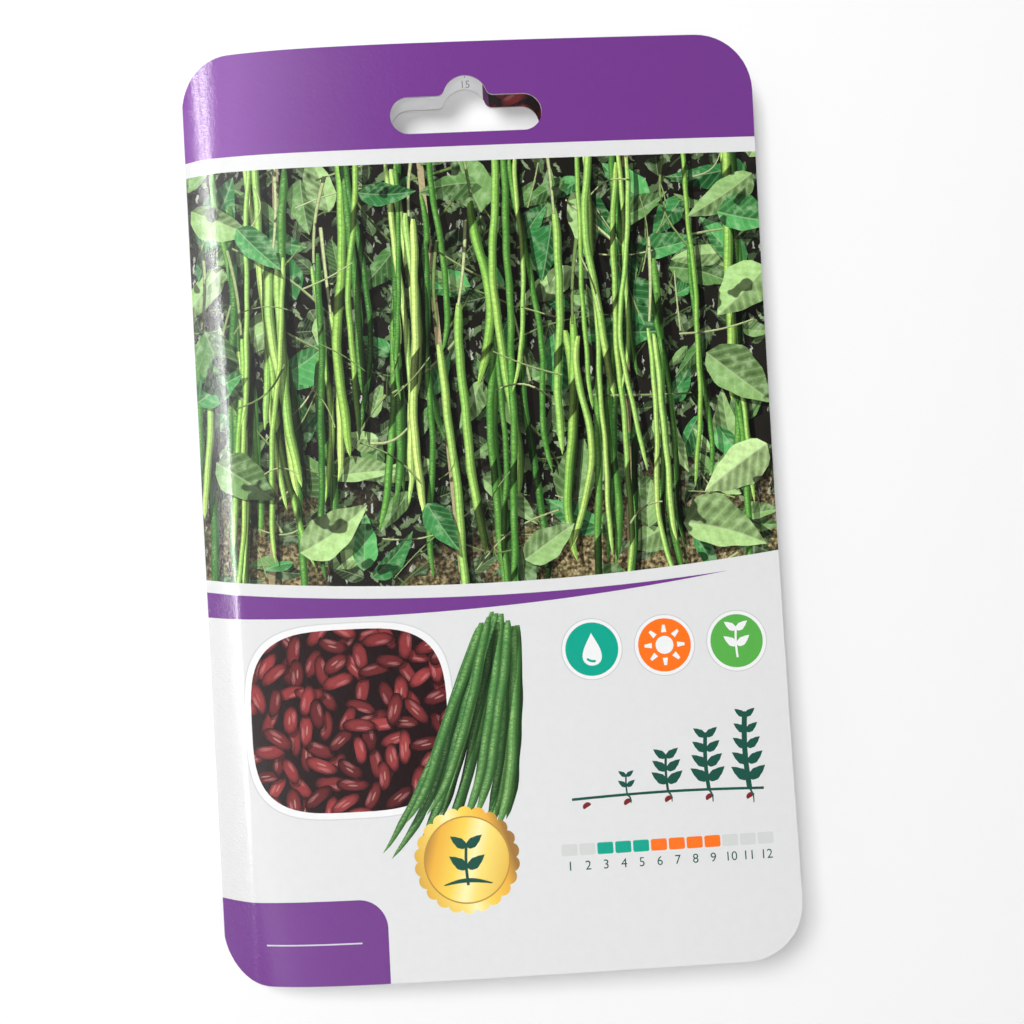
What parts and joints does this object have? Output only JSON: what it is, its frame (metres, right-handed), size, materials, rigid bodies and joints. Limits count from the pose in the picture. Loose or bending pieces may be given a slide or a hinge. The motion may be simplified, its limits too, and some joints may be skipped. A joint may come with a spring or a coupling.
{
  "type": "seed packet",
  "caption": "Folded glossy card seed packet lying on its back: hang slot through both panels, soft spine at the left, front panel that opens like a book over a foil sachet of seeds.",
  "frame": {"origin": "centre of the packet's footprint, on the surface that its back panel lies on", "axes": "+X across the packet away from the fold, +Y up the packet towards the hang slot, +Z out of the front panel"},
  "size_m": [0.122, 0.1956, 0.0122],
  "materials": {
    "card_back": "white coated card, laminated gloss",
    "card_print": "printed card, laminated gloss",
    "foil_film": "thin laminated foil, crinkled, satin",
    "seed_skin": "dry waxy seed coat, dark red",
    "glue": "dried clear glue"
  },
  "bodies": {
    "base": {"back_panel": "card_back", "sachet_back_film": "foil_film", "sachet_front_film": "foil_film", "seed_fill": "seed_skin", "glue_strip_lower": "glue", "glue_strip_upper": "glue"},
    "spine": {"spine_strip": "card_print"},
    "cover": {"front_panel": "card_print"}
  },
  "joints": [
    {"name": "spine_fold", "type": "hinge", "parent": "base", "child": "spine", "pos_m": [-0.0605, 0, 0.0005], "axis": [0, -1, 0], "range_deg": [0, 140]},
    {"name": "cover_crease", "type": "hinge", "parent": "spine", "child": "cover", "pos_m": [-0.0535, 0, 0.0048], "axis": [0, -1, 0.0092], "range_deg": [0, 30]}
  ],
  "couplings": [
    {"joint": "cover_crease", "follows": "spine_fold", "ratio": 0.21429}
  ]
}
